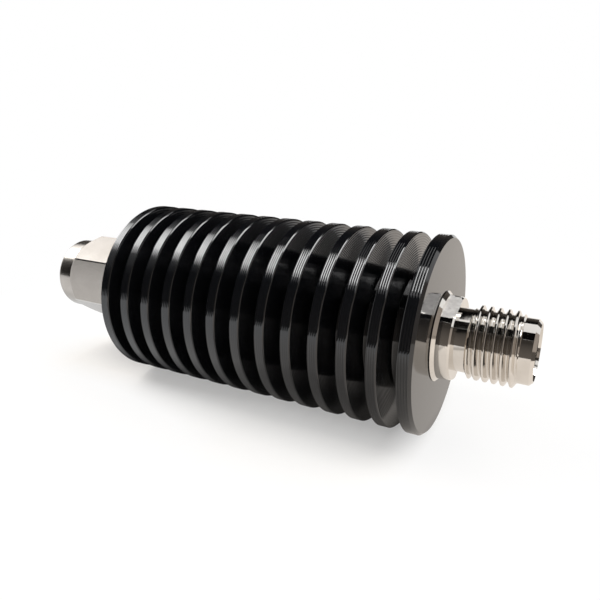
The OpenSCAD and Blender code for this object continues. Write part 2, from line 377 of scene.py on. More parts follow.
def repeat_along_axis(tree: NodeTree) -> Socket:
    """Adds the part of a tree that repeats its input along X.

    Args:
        tree: the tree, with inputs First, Pitch and Count.

    Returns:
        The socket of the realised copies.
    """
    s = tree.sketch
    line = s.feed(s.add("GeometryNodeMeshLine", mode="OFFSET"), {
        "Count": tree.value("Count"), "Start Location": s.join(tree.value("First")),
        "Offset": s.join(tree.value("Pitch"))})
    copies = s.feed(s.add("GeometryNodeInstanceOnPoints"), {
        "Points": line.outputs["Mesh"], "Instance": tree.value("Geometry")})
    real = s.feed(s.add("GeometryNodeRealizeInstances"), {"Geometry": copies.outputs["Instances"]})
    return real.outputs["Geometry"]


def close_tree(tree: NodeTree, geometry: Socket) -> None:
    """Welds the points, sets the material and ends the tree.

    Args:
        tree: the tree, with a Material input.
        geometry: the geometry so far.
    """
    s = tree.sketch
    weld = s.feed(s.add("GeometryNodeMergeByDistance"), {"Geometry": geometry, "Distance": MERGE})
    paint = s.feed(s.add("GeometryNodeSetMaterial"), {
        "Geometry": weld.outputs["Geometry"], "Material": tree.value("Material")})
    s.feed(tree.end, {"Geometry": paint.outputs["Geometry"]})


def fin_tree() -> NodeTree:
    """Builds the tree that repeats one fin and its groove along the axis.

    Returns:
        The tree, with inputs First, Pitch, Count and Material.
    """
    tree = NodeTree("fin_stack", [("First", "NodeSocketFloat"), ("Pitch", "NodeSocketFloat"),
                                  ("Count", "NodeSocketInt"), ("Material", "NodeSocketMaterial")])
    close_tree(tree, repeat_along_axis(tree))
    return tree


def thread_tree() -> NodeTree:
    """Builds the tree that repeats one turn of a thread and trims it with a lead-in cone at each end.

    Returns:
        The tree, with inputs First, Pitch, Count, Start, End, the radius and slope of both cones, Side and
        Material.
    """
    number = "NodeSocketFloat"
    names = ["First", "Pitch", "Start", "End", "Start Radius", "End Radius", "Start Slope", "End Slope", "Side"]
    tree = NodeTree("thread_run", [(n, number) for n in names] + [("Count", "NodeSocketInt"),
                                                                 ("Material", "NodeSocketMaterial")])
    s = tree.sketch
    turns = repeat_along_axis(tree)
    x, y, z = s.split(s.add("GeometryNodeInputPosition").outputs[0])
    radius = s.length(y, z)
    along = s.math("MAXIMUM", s.math("MINIMUM", x, tree.value("End")), tree.value("Start"))
    side = tree.value("Side")
    result = s.math("MULTIPLY", radius, side)
    for end, sign in (("Start", 1.0), ("End", -1.0)):
        depth = s.math("MULTIPLY", s.math("SUBTRACT", along, tree.value(end)), sign)
        cone = s.math("ADD", s.math("MULTIPLY", tree.value(f"{end} Radius"), side),
                      s.math("MULTIPLY", depth, tree.value(f"{end} Slope")))
        result = s.math("MINIMUM", result, cone)
    scale = s.math("DIVIDE", s.math("MULTIPLY", result, side), radius)
    place = s.join(along, s.math("MULTIPLY", y, scale), s.math("MULTIPLY", z, scale))
    move = s.feed(s.add("GeometryNodeSetPosition"), {"Geometry": turns, "Position": place})
    close_tree(tree, move.outputs["Geometry"])
    return tree


# Finishes


@dataclass(frozen=True)
class Anodised:
    """Black anodising over bright turned aluminium."""

    name: str = "black_anodised"
    dark: Triple = (0.0026, 0.0029, 0.0036)
    pale: Triple = (0.0042, 0.0046, 0.0055)
    ior: float = 1.68
    smooth: float = 0.045
    rough: float = 0.105
    mark_scale: float = 14000.0
    mark_share: float = 0.6
    mark_depth: float = 0.6e-6
    band_scale: float = 900.0
    dye_scale: float = 260.0
    ring_pitch: float = 0.22e-3
    ring_depth: float = 18.0e-6
    plain_from: float = 39.0e-3

    def material(self) -> Material:
        """Makes the finish: fine turning marks in gloss, height and colour.

        Returns:
            The material.
        """
        material, s, shader = new_material(self.name)
        turned = s.turned_place()
        marks = s.noise(turned, self.mark_scale, 3.0, 0.65)
        bands = s.noise(turned, self.band_scale, 2.0)
        dye = s.noise(s.place(), self.dye_scale, 3.0)
        gloss = s.math("ADD", s.math("MULTIPLY", marks, self.mark_share),
                       s.math("MULTIPLY", bands, 1.0 - self.mark_share))
        along, radius, _ = s.split(turned)
        ring = s.math("SINE", s.math("MULTIPLY", radius, TAU / self.ring_pitch))
        inside = s.math("LESS_THAN", along, self.plain_from)
        ridges = s.math("MULTIPLY", s.math("MULTIPLY_ADD", ring, 0.5, 0.5), inside)
        height = s.math("ADD", s.math("MULTIPLY", marks, self.mark_depth),
                        s.math("MULTIPLY", ridges, self.ring_depth))
        s.feed(shader, {"Base Color": s.blend(dye, self.dark, self.pale), "Normal": s.bump(height, 1.0),
                        "Roughness": s.spread(gloss, self.smooth, self.rough, *NOISE_RANGE), "IOR": self.ior})
        return material


@dataclass(frozen=True)
class Plated:
    """Bright white-metal plating over turned brass."""

    name: str
    dark: Triple = (0.66, 0.63, 0.59)
    pale: Triple = (0.78, 0.75, 0.71)
    smooth: float = 0.05
    rough: float = 0.10
    mark_scale: float = 9000.0
    mark_depth: float = 1.0e-6
    along_axis: bool = False
    metallic: float = 1.0
    cloud_scale: float = 420.0
    cloud_least: float = 0.1
    speck_scale: float = 2600.0
    speck_range: Pair = (0.66, 0.74)
    speck_share: float = 0.35

    def material(self) -> Material:
        """Makes the finish: turning or milling marks, faint clouding and small specks.

        Returns:
            The material.
        """
        material, s, shader = new_material(self.name)
        place = s.place()
        marks = s.noise(place if self.along_axis else s.turned_place(), self.mark_scale, 3.0, 0.6)
        cloud = s.noise(place, self.cloud_scale, 4.0)
        speck = s.spread(s.noise(place, self.speck_scale, 2.0), 0.0, 1.0, *self.speck_range)
        tone = s.math("SUBTRACT", s.spread(cloud, self.cloud_least, 1.0, *NOISE_RANGE),
                      s.math("MULTIPLY", speck, self.speck_share), clamp=True)
        gloss = s.math("ADD", s.math("MULTIPLY", marks, 0.5), s.math("MULTIPLY", cloud, 0.5))
        s.feed(shader, {"Base Color": s.blend(tone, self.dark, self.pale), "Metallic": self.metallic,
                        "Roughness": s.spread(gloss, self.smooth, self.rough, *NOISE_RANGE),
                        "Normal": s.bump(marks, self.mark_depth)})
        return material


@dataclass(frozen=True)
class Plain:
    """A plain non-metal or metal with clouding, grain and a little relief."""

    name: str
    dark: Triple
    pale: Triple
    smooth: float
    rough: float
    metallic: float = 0.0
    grain: float = 1800.0
    relief: float = 3.0e-6
    cloud_scale: float = 300.0

    def material(self) -> Material:
        """Makes the finish.

        Returns:
            The material.
        """
        material, s, shader = new_material(self.name)
        place = s.place()
        grain = s.noise(place, self.grain, 4.0, 0.6)
        cloud = s.noise(place, self.cloud_scale, 3.0)
        tone = s.math("MULTIPLY_ADD", grain, 0.5, s.math("MULTIPLY", cloud, 0.5))
        s.feed(shader, {"Base Color": s.blend(tone, self.dark, self.pale), "Metallic": self.metallic,
                        "Roughness": s.spread(grain, self.smooth, self.rough, *NOISE_RANGE),
                        "Normal": s.bump(grain, self.relief)})
        return material


# Pieces


@dataclass
class HeatSink:
    """The finned body, turned from one bar. Sizes in millimetres."""

    start: float = 8.25
    count: int = 13
    pitch: float = 2.5
    thickness: float = 0.9
    near_edge: float = 0.04
    far_edge: float = 0.10
    end_thickness: float = 1.15
    end_edge: float = 0.25
    rim_radius: float = 8.7
    core_radius: float = 5.2
    bore_radius: float = 3.5
    root_fillet: float = 0.15
    feeds: int = 4
    feed_depth: float = 0.016
    end_feed_depth: float = 0.0115
    feed_steps: int = 6
    around: int = 168

    @property
    def last_start(self) -> float:
        """Returns the place of the last fin's groove side."""
        return self.start + (self.count - 1) * self.pitch

    @property
    def end(self) -> float:
        """Returns the place of the jack-side face."""
        return self.last_start + self.end_thickness

    def rim_points(self, begin: float, width: float, depth: float) -> list[Pair]:
        """Returns the outline of a rim: one shallow scallop for each turn of the tool.

        Args:
            begin: where the rim begins.
            width: its width.
            depth: the scallops' depth.

        Returns:
            Places along the axis and radii.
        """
        points = []
        for i in range(self.feeds * self.feed_steps + 1):
            u = (i % self.feed_steps) / self.feed_steps
            dip = depth * 4.0 * u * (1.0 - u)
            points.append((begin + width * i / (self.feeds * self.feed_steps), self.rim_radius - dip))
        return points

    def unit_points(self) -> list[Pair]:
        """Draws one fin and the groove after it, from the groove's floor back to it.

        Returns:
            Places along the axis and radii.
        """
        f, t, root, top = self.root_fillet, self.thickness, self.core_radius, self.rim_radius
        fall = [(t + f * (1 - math.sin(a)), root + f * (1 - math.cos(a)))
                for a in (math.pi / 2, math.pi / 3, math.pi / 6, 0.0)]
        rise = [(self.pitch - (x - t), r) for x, r in reversed(fall)]
        rim = self.rim_points(self.near_edge, t - self.near_edge - self.far_edge, self.feed_depth)
        return [(0.0, root + f), (0.0, top - self.near_edge), *rim, (t, top - self.far_edge), *fall, *rise]

    def end_points(self) -> list[Pair]:
        """Draws the last fin, the face behind it and the bore, back to the first fin.

        Returns:
            Places along the axis and radii.
        """
        root, begin = self.core_radius + self.root_fillet, self.last_start
        rim = self.rim_points(begin + self.near_edge, self.end_thickness - self.near_edge - self.end_edge,
                              self.end_feed_depth)
        return [(begin, root), (begin, self.rim_radius - self.near_edge), *rim,
                (self.end, self.rim_radius - self.end_edge), (self.end, self.bore_radius),
                (self.start, self.bore_radius), (self.start, root)]

    def build(self, finish: Material) -> Object:
        """Makes the whole heat sink and sets it in place of its solid.

        Args:
            finish: the anodised finish.

        Returns:
            The new piece.
        """
        angles = even_angles(self.around)
        unit = bmesh.new()
        strip_faces(unit, rings(self.unit_points(), angles), angles)
        base = bpy.data.meshes.new("fin_unit")
        unit.to_mesh(base)
        unit.free()
        stack = fin_tree().realise(base, {"First": self.start * MM, "Pitch": self.pitch * MM,
                                          "Count": self.count - 1, "Material": finish})
        mesh = bmesh.new()
        mesh.from_mesh(stack)
        strip_faces(mesh, rings(self.end_points(), angles), angles)
        piece = finish_mesh(mesh, "heat_sink_turned", [finish])
        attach(piece, ROOT_BODY)
        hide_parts("heat_sink")
        return piece


@dataclass
class Thread:
    """A right-hand thread of sixty degrees. Sizes in millimetres."""

    pitch: float
    crest: float
    root: float
    start: float
    end: float
    start_radius: float
    end_radius: float
    start_slope: float
    end_slope: float
    crest_place: float
    hand: Hand

    PROFILE = ((0.0, 1.0), (0.08, 0.99), (0.13, 0.92), (0.27, 0.46), (0.40, 0.06), (0.45, 0.0), (0.55, 0.0),
               (0.60, 0.06), (0.73, 0.46), (0.87, 0.92), (0.92, 0.99), (1.0, 1.0))

    def turn(self, angles: np.ndarray) -> bpy.types.Mesh:
        """Makes one turn, whose ends meet the next turn's.

        Args:
            angles: the angles round the axis, from 0.

        Returns:
            The mesh of one turn that starts with a crest at X = 0 and angle 0.
        """
        wide = np.append(angles, TAU)
        mesh = bmesh.new()
        grid = []
        for phase, height in self.PROFILE:
            radius = (self.root + (self.crest - self.root) * height) * MM
            grid.append([mesh.verts.new((self.pitch * MM * (phase + a / TAU), radius * math.cos(a),
                                         radius * math.sin(a))) for a in wide])
        for near, far in zip(grid, grid[1:]):
            for j in range(len(wide) - 1):
                mesh.faces.new((near[j], near[j + 1], far[j + 1], far[j]))
        base = bpy.data.meshes.new("thread_turn")
        mesh.to_mesh(base)
        mesh.free()
        return base

    def build(self, angles: np.ndarray, finish: Material) -> bpy.types.Mesh:
        """Makes the whole trimmed thread.

        Args:
            angles: the angles round the axis, from 0.
            finish: its material.

        Returns:
            The thread's surface.
        """
        first = self.crest_place
        while first + self.pitch > self.start:
            first -= self.pitch
        count = math.ceil((self.end - first) / self.pitch) + 1
        return thread_tree().realise(self.turn(angles), {
            "First": first * MM, "Pitch": self.pitch * MM, "Count": count,
            "Start": self.start * MM, "End": self.end * MM,
            "Start Radius": self.start_radius * MM, "End Radius": self.end_radius * MM,
            "Start Slope": self.start_slope, "End Slope": self.end_slope,
            "Side": self.hand.value, "Material": finish})


@dataclass
class JackBody:
    """The female connector's body. Sizes in millimetres."""

    inner_end: float = 29.825
    face: float = 39.4
    shank_radius: float = 3.48
    foot_radius: float = 3.95
    foot_edge: float = 0.07
    foot_end: float = 39.75
    collar_radius: float = 3.65
    collar_end: float = 40.9
    collar_chamfer: float = 0.15
    collar_crown: float = 0.055
    crown_steps: int = 8
    flat_reach: float = 3.3
    flat_turn: float = 108.0
    flat_facing: float = 0.995
    relief_radius: float = 2.72
    thread_start: float = 41.9
    thread_end: float = 46.0
    thread_radius: float = 3.175
    thread_depth: float = 0.40
    thread_pitch: float = 0.7056
    thread_slope: float = 1.5167
    crest_place: float = 42.337
    front: float = 47.2
    pilot_radius: float = 2.72
    pilot_chamfer: float = 0.28
    mouth_radius: float = 2.315
    mouth_edge: float = 0.11
    mouth_lead: float = 0.24
    mouth_floor: float = 45.27
    bore_radius: float = 2.07
    step: float = 40.0
    inner_bore_radius: float = 2.72
    around: int = 192

    def collar_rows(self, angles: np.ndarray) -> list[Row]:
        """Draws the collar with its soft front edge and its two flats.

        Args:
            angles: the angles round the axis.

        Returns:
            Its rows.
        """
        lean = np.cos(angles - math.radians(self.flat_turn))
        reach = self.flat_reach / np.maximum(np.abs(lean), TINY)
        begin, width = self.foot_end, self.collar_end - self.collar_chamfer - self.foot_end
        shape = [(begin + width * u, self.collar_radius - self.collar_crown * u * u)
                 for u in np.linspace(0.0, 1.0, self.crown_steps + 1)]
        shape.append((self.collar_end, self.collar_radius - self.collar_chamfer))
        return [(np.full(len(angles), x * MM), np.minimum(reach, r) * MM) for x, r in shape]

    def build(self, bright: Material, satin: Material) -> Object:
        """Makes the body with its thread and sets it in place of its solid.

        Args:
            bright: the turned finish.
            satin: the finish of the wrench flats.

        Returns:
            The new piece.
        """
        angles = even_angles(self.around)
        thread = Thread(self.thread_pitch, self.thread_radius, self.thread_radius - self.thread_depth,
                        self.thread_start, self.thread_end, self.relief_radius, self.pilot_radius,
                        self.thread_slope, self.thread_slope, self.crest_place, Hand.OUTSIDE)
        mesh = bmesh.new()
        mesh.from_mesh(thread.build(angles, bright))
        back = rings(((self.inner_end, self.inner_bore_radius), (self.inner_end, self.shank_radius),
                      (self.face, self.shank_radius), (self.face, self.foot_radius - self.foot_edge),
                      (self.face + self.foot_edge, self.foot_radius), (self.foot_end, self.collar_radius)), angles)
        back += self.collar_rows(angles)
        back += rings(((self.collar_end, self.relief_radius), (self.thread_start, self.relief_radius)), angles)
        tip = self.pilot_radius - self.pilot_chamfer
        front = rings(((self.thread_end, self.pilot_radius), (self.front - self.pilot_chamfer, self.pilot_radius),
                       (self.front, tip), (self.front, self.mouth_radius + self.mouth_edge),
                       (self.front - self.mouth_lead, self.mouth_radius), (self.mouth_floor, self.mouth_radius),
                       (self.mouth_floor, self.bore_radius), (self.step, self.bore_radius),
                       (self.step, self.inner_bore_radius), (self.inner_end, self.inner_bore_radius)), angles)
        strip_faces(mesh, back, angles)
        strip_faces(mesh, front, angles)
        piece = finish_mesh(mesh, "jack_body_turned", [bright, satin])
        lean = Vector((0.0, math.cos(math.radians(self.flat_turn)), math.sin(math.radians(self.flat_turn))))
        paint_faces(piece, Slot.FLATS, lambda middle, normal: self.foot_end < middle.x < self.collar_end
                    and abs(normal.dot(lean)) > self.flat_facing)
        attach(piece, ROOT_BODY)
        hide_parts("jack_body")
        return piece


@dataclass
class CouplingNut:
    """The nut that turns on the plug's neck. Sizes in millimetres."""

    front: float = -3.45
    back: float = 5.6
    nose: float = 0.3
    collar_radius: float = 3.85
    hex_start: float = -1.6
    half_flats: float = 4.0
    turn: float = 22.0
    chamfer_angle: float = 38.0
    back_angle: float = 60.0
    edge_width: float = 0.16
    edge_break: float = 0.05
    lead_radius: float = 3.25
    thread_crest: float = 2.85
    thread_root: float = 3.2
    thread_pitch: float = 0.7056
    thread_end: float = 1.05
    relief_radius: float = 3.3
    relief_end: float = 2.7
    bore_radius: float = 3.05
    groove_radius: float = 3.35
    groove_start: float = 3.5
    groove_end: float = 4.4
    lead_slope: float = 1.0
    run_out_slope: float = 1.6
    flat_facing: float = 0.9995
    flat_clear: float = 0.02
    chamfer_facing: float = 0.5

    STEPS = (2.5, 3.7, 5.5, 8.0, 11.0, 14.5, 18.0, 22.0, 26.0, 30.0)
    NOSE_ANGLES = (22.5, 37.5, 52.5, 67.5, 82.5)
    CORNERS = 6
    SECTOR = 60.0
    HALF_SECTOR = 30.0

    @property
    def edge_reach(self) -> float:
        """Returns the distance from the axis to the small flat along each corner of the hexagon."""
        lean = math.radians(self.HALF_SECTOR)
        return self.half_flats / math.cos(lean) - 0.5 * self.edge_width * math.tan(lean)

    @property
    def edge_angle(self) -> float:
        """Returns half the angle that the small flat spans, in degrees."""
        return math.degrees(math.atan2(0.5 * self.edge_width, self.edge_reach))

    def angles(self) -> np.ndarray:
        """Spaces the angles round the axis, close together at the hexagon's corners.

        Returns:
            The angles, from 0.
        """
        half = [0.0, self.edge_angle, *self.STEPS]
        sector = half + [self.SECTOR - a for a in reversed(half[1:-1])]
        whole = sorted((self.turn + self.SECTOR * k + a) % 360.0 for k in range(self.CORNERS) for a in sector)
        return np.radians(np.array([0.0] + whole if whole[0] > TINY else whole))

    def hexagon(self, angles: np.ndarray) -> np.ndarray:
        """Draws the hexagon with a small flat along each corner.

        Args:
            angles: the angles round the axis.

        Returns:
            Its radius at each angle.
        """
        lean = (np.degrees(angles) - self.turn + self.HALF_SECTOR) % self.SECTOR - self.HALF_SECTOR
        flat = self.half_flats / np.cos(np.radians(self.HALF_SECTOR - np.abs(lean)))
        return np.minimum(flat, self.edge_reach / np.cos(np.radians(lean)))

    def outer_rows(self, angles: np.ndarray) -> list[Row]:
        """Draws the outside, from the front to the back.

        Args:
            angles: the angles round the axis.

        Returns:
            Its rows.
        """
        nose = [(self.front + self.nose * (1 - math.cos(a)), self.collar_radius - self.nose * (1 - math.sin(a)))
                for a in map(math.radians, self.NOSE_ANGLES)]
        rows = rings(((self.front, self.collar_radius - self.nose), *nose,
                      (self.front + self.nose, self.collar_radius), (self.hex_start, self.collar_radius)), angles)
        hexagon = self.hexagon(angles)
        b = self.edge_break
        for angle, base, sign in ((self.chamfer_angle, self.hex_start, 1.0), (self.back_angle, self.back, -1.0)):
            slope = math.tan(math.radians(angle))
            meet = base + sign * (hexagon - self.collar_radius) / slope
            pair = [((meet - sign * b) * MM, (hexagon - b * slope) * MM), ((meet + sign * b) * MM, hexagon * MM)]
            rows += pair if sign > 0 else list(reversed(pair))
        return rows + rings(((self.back, self.collar_radius),), angles)

    def build(self, turned: Material, satin: Material, bright: Material) -> Object:
        """Makes the nut with its inner thread and sets it in place of its solid.

        Args:
            turned: the finish of the round parts.
            satin: the finish of the six flats.
            bright: the finish of the small flats between them and of the front chamfer.

        Returns:
            The new piece.
        """
        angles = self.angles()
        thread = Thread(self.thread_pitch, self.thread_crest, self.thread_root, self.front, self.thread_end,
                        self.lead_radius, self.relief_radius, self.lead_slope, self.run_out_slope, self.front,
                        Hand.INSIDE)
        mesh = bmesh.new()
        mesh.from_mesh(thread.build(angles, turned))
        inside = ((self.back, self.collar_radius), (self.back, self.bore_radius),
                  (self.groove_end, self.bore_radius), (self.groove_end, self.groove_radius),
                  (self.groove_start, self.groove_radius), (self.groove_start, self.bore_radius),
                  (self.relief_end, self.bore_radius), (self.relief_end, self.relief_radius),
                  (self.thread_end, self.relief_radius))
        strip_faces(mesh, self.outer_rows(angles), angles)
        strip_faces(mesh, rings(inside, angles), angles)
        lead = ((self.front, self.lead_radius), (self.front, self.collar_radius - self.nose))
        strip_faces(mesh, rings(lead, angles), angles)
        piece = finish_mesh(mesh, "coupling_nut_turned", [turned, satin, bright])
        corner = self.half_flats / math.cos(math.radians(self.HALF_SECTOR))
        chamfer = self.hex_start + (corner - self.collar_radius) / math.tan(math.radians(self.chamfer_angle))
        paint_faces(piece, Slot.EDGES, lambda middle, normal: self.hex_start < middle.x < chamfer
                    and normal.x < -self.chamfer_facing and math.hypot(middle.y, middle.z) > self.collar_radius)
        clear = self.collar_radius + self.flat_clear
        for slot, first in ((Slot.FLATS, self.turn + self.HALF_SECTOR), (Slot.EDGES, self.turn)):
            facing = [math.radians(first + self.SECTOR * k) for k in range(self.CORNERS)]
            leans = [Vector((0.0, math.cos(a), math.sin(a))) for a in facing]
            paint_faces(piece, slot, lambda middle, normal: math.hypot(middle.y, middle.z) > clear
                        and any(normal.dot(lean) > self.flat_facing for lean in leans))
        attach(piece, NUT_BODY)
        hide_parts("coupling_nut")
        return piece


@dataclass
class InnerPieces:
    """The nodes whose solids stay as they are and only take a finish."""

    nodes: dict[str, Object]

    def dress(self, finishes: dict[str, Material]) -> None:
        """Gives each named node its finish.

        Args:
            finishes: node name to material.
        """
        for name, finish in finishes.items():
            piece = self.nodes[name]
            if piece.material_slots:
                for slot in piece.material_slots:
                    slot.material = finish
            else:
                piece.data.materials.append(finish)
            LOG.info("dressed %s with %s", name, finish.name)


# Studio


@dataclass
class Studio:
    """Floor, light, dark cards and camera. Lengths in millimetres."""

    floor_height: float = -8.7
    floor_reach: float = 420.0
    floor_dark: Triple = (0.84, 0.80, 0.75)
    floor_pale: Triple = (0.88, 0.845, 0.795)
    floor_grain: float = 900.0
    room: float = 0.7
    # The shade fields set a distance from a strip under the object: the floor's glow for the eye grows with it,
    # and the floor's reflections carry a painted shadow along that strip
    shade_ends: Pair = (0.0, 36.0)
    shade_falls: Pair = (3.0, 4.0)
    shade_turn: Pair = (8.0, 24.0)
    shade_rise: float = 3.7
    shade_offset: float = -15.5
    shade_steps: Triple = (3.0, 16.0, 90.0)
    shade_glow: Triple = (0.06, 0.85, 1.0)
    shade_seen: Triple = (0.35, 0.86, 1.0)
    # Painted light and shade in the floor's reflections in front of the object: brighter on the left, darker up to
    # 35 mm and plain again by 37 mm
    lean_light: Pair = (0.28, -0.42)
    lean_run: Pair = (10.0, 35.0)
    lean_end: Pair = (35.5, 37.0)
    lean_front: Pair = (-14.0, -6.0)
    # Painted tint of the floor's reflections: cool on the left, warm towards the jack
    tint_run: Pair = (0.0, 45.0)
    tint_cool: Triple = (0.96, 0.98, 1.0)
    tint_warm: Triple = (1.0, 0.925, 0.85)
    # The cards paint reflections: near-black sheets that only gloss sees, with a painted glow that changes with
    # height
    card_dark: Triple = (0.002, 0.002, 0.002)
    card_pale: Triple = (0.003, 0.003, 0.003)
    card_weave: float = 300.0
    card_light: Triple = (1.0, 0.88, 0.78)
    card_heights: Pair = (20.0, 170.0)
    camera_place: Triple = (50.136, -46.327, 18.782)
    camera_forward: Triple = (-0.443985, 0.836968, -0.319939)
    lens: float = 34.4732
    sensor: float = 36.0
    clip: Pair = (2.0, 20000.0)

    # Each lamp has its middle, its two sides, its watts, the point that it faces and the rays it answers to
    LAMPS = (("soft_panel", (-267.5, -39.0, 294.0), (365.0, 176.0), 1.35, (-267.5, 0.0, 0.0), Seen.BY_ALL),
             ("panel_sheen", (-267.5, -39.0, 294.0), (365.0, 176.0), 1.67, (-267.5, 0.0, 0.0), Seen.IN_GLOSS),
             ("panel_tail", (-350.0, 105.0, 294.0), (160.0, 100.0), 0.038, (-267.5, 0.0, 0.0), Seen.IN_GLOSS),
             ("soft_fill", (220.0, 120.0, 260.0), (250.0, 250.0), 0.8, (35.0, 10.0, -8.7), Seen.OUT_OF_GLOSS),
             ("edge_lamp", (185.0, 100.0, 270.0), (160.0, 160.0), 0.5, (24.0, 0.0, 0.0), Seen.IN_GLOSS))
    # Painted reflections: each tone has its own glow at the floor and high up; each card has a tone and two
    # opposite corners
    TONES = (("black_card", 0.015, 0.0), ("brown_card", 0.12, 0.04), ("dark_card", 0.10, 0.0),
             ("grey_card", 0.38, 0.30))
    CARDS = (("front_card", "black_card", (-420.0, -160.0, -8.7), (0.0, -160.0, 270.0)),
             ("front_end", "brown_card", (0.0, -160.0, -8.7), (420.0, -160.0, 270.0)),
             ("back_card", "dark_card", (-420.0, 200.0, 20.0), (200.0, 200.0, 250.0)),
             ("top_card", "dark_card", (-30.0, -170.0, 290.0), (300.0, -12.0, 290.0)),
             ("roof_card", "dark_card", (-270.0, 50.0, 290.0), (-70.0, 245.0, 290.0)),
             ("low_card", "dark_card", (80.0, -10.0, -8.7), (80.0, 60.0, 2.0)),
             ("roof_end", "dark_card", (-70.0, 30.0, 290.0), (-10.0, 245.0, 290.0)),
             ("side_card", "grey_card", (220.0, -250.0, -8.7), (220.0, 100.0, 120.0)))

    def floor(self) -> None:
        """Makes the pale floor, which turns plain white away from the object; its reflections show a painted
        shadow, painted light and shade and a painted tint.
        """
        material, s, shader = new_material("pale_floor")
        place = s.place()
        grain = s.noise(place, self.floor_grain, 3.0)
        s.feed(shader, {"Base Color": s.blend(grain, self.floor_dark, self.floor_pale), "Roughness": 0.9,
                        "Specular IOR Level": 0.1})
        x, y, _ = s.split(place)
        left = s.math("MAXIMUM", s.math("SUBTRACT", self.shade_ends[0] * MM, x), 0.0)
        right = s.math("MAXIMUM", s.math("SUBTRACT", x, self.shade_ends[1] * MM), 0.0)
        past = s.math("MULTIPLY_ADD", right, self.shade_falls[1], s.math("MULTIPLY", left, self.shade_falls[0]))
        rise = s.math("MULTIPLY", s.math("ABSOLUTE", y), s.ramp(x, self.shade_rise, 1.0, self.shade_turn))
        offset = s.ramp(x, self.shade_offset * MM, 0.0, self.shade_turn)
        aside = s.math("MAXIMUM", s.math("ADD", rise, offset), 0.0)
        far = s.length(past, aside)
        # The first light is the glow that turns the floor white for the eye; the second is the painted shadow that
        # its reflections show, dark at the contact and white far off
        lights = [s.math("ADD", s.ramp(far, least, half, self.shade_steps[:2]),
                         s.ramp(far, 0.0, full - half, self.shade_steps[1:]))
                  for least, half, full in (self.shade_seen, self.shade_glow)]
        glow = s.add("ShaderNodeEmission")
        rays = s.add("ShaderNodeLightPath").outputs
        lift = s.feed(s.add("ShaderNodeMixShader"), {
            0: s.math("MULTIPLY", rays["Is Camera Ray"], lights[0]), 1: shader.outputs[0], 2: glow.outputs[0]})
        # Painted light and shade: the reflected floor brighter on the left and darker towards the jack, in front
        # of the object only
        high, low = self.lean_light
        run = s.math("ADD", s.ramp(x, high, low, self.lean_run), s.ramp(x, 0.0, -low, self.lean_end))
        lean = s.math("MULTIPLY_ADD", run, s.ramp(y, 1.0, 0.0, self.lean_front), 1.0)
        # Painted warm tint of the reflected floor towards the jack
        tint = s.blend(s.ramp(x, 0.0, 1.0, self.tint_run), self.tint_cool, self.tint_warm)
        # What gloss sees of the floor is a glow with the painted shadow, painted light and shade and painted tint,
        # and no real shading
        painted_reflection = s.feed(s.add("ShaderNodeEmission"), {
            "Color": tint, "Strength": s.math("MULTIPLY", lights[1], lean, clamp=True)})
        mirror = s.math("MAXIMUM", rays["Is Glossy Ray"], rays["Is Transmission Ray"])
        mix = s.feed(s.add("ShaderNodeMixShader"), {0: mirror, 1: lift.outputs[0], 2: painted_reflection.outputs[0]})
        s.feed(material.node_tree.nodes["Material Output"], {"Surface": mix.outputs[0]})
        r, z = self.floor_reach * MM, self.floor_height * MM
        self.card("floor", [(-r, -r, z), (r, -r, z), (r, r, z), (-r, r, z)], material, Seen.BY_ALL)

    def card(self, name: str, corners: Sequence[Triple], material: Material, seen: Seen) -> None:
        """Makes one flat card of the studio.

        Args:
            name: its name.
            corners: its corners in metres.
            material: its material.
            seen: which rays it answers to.
        """
        data = bpy.data.meshes.new(name)
        data.from_pydata([Vector(c) for c in corners], [], [tuple(range(len(corners)))])
        data.materials.append(material)
        card = bpy.data.objects.new(name, data)
        bpy.context.scene.collection.objects.link(card)
        # A card seen only in gloss is a painted reflection
        if seen is Seen.IN_GLOSS:
            card.visible_camera = False
            card.visible_diffuse = False
            card.visible_shadow = False
            card.visible_transmission = False

    def tone(self, name: str, foot: float, head: float) -> Material:
        """Makes the finish of a card: near black with a painted glow that changes with height.

        Args:
            name: the material's name.
            foot: its own light at the floor.
            head: its own light high up.

        Returns:
            The material.
        """
        material, s, shader = new_material(name)
        place = s.place()
        weave = s.noise(place, self.card_weave, 2.0)
        height = s.split(place)[2]
        s.feed(shader, {"Base Color": s.blend(weave, self.card_dark, self.card_pale), "Roughness": 1.0,
                        "Specular IOR Level": 0.0, "Emission Color": (*self.card_light, 1.0),
                        "Emission Strength": s.ramp(height, foot, head, self.card_heights)})
        return material

    def flags(self) -> None:
        """Makes the cards round the object, which only its gloss shows: painted dark and dimly glowing
        reflections.
        """
        tones = {name: self.tone(name, foot, head) for name, foot, head in self.TONES}
        for name, tone, low, high in self.CARDS:
            (x0, y0, z0), (x1, y1, z1) = (tuple(v * MM for v in corner) for corner in (low, high))
            level = [(x0, y0, z0), (x1, y0, z0), (x1, y1, z0), (x0, y1, z0)]
            upright = [(x0, y0, z0), (x1, y1, z0), (x1, y1, z1), (x0, y0, z1)]
            self.card(name, level if z0 == z1 else upright, tones[tone], Seen.IN_GLOSS)

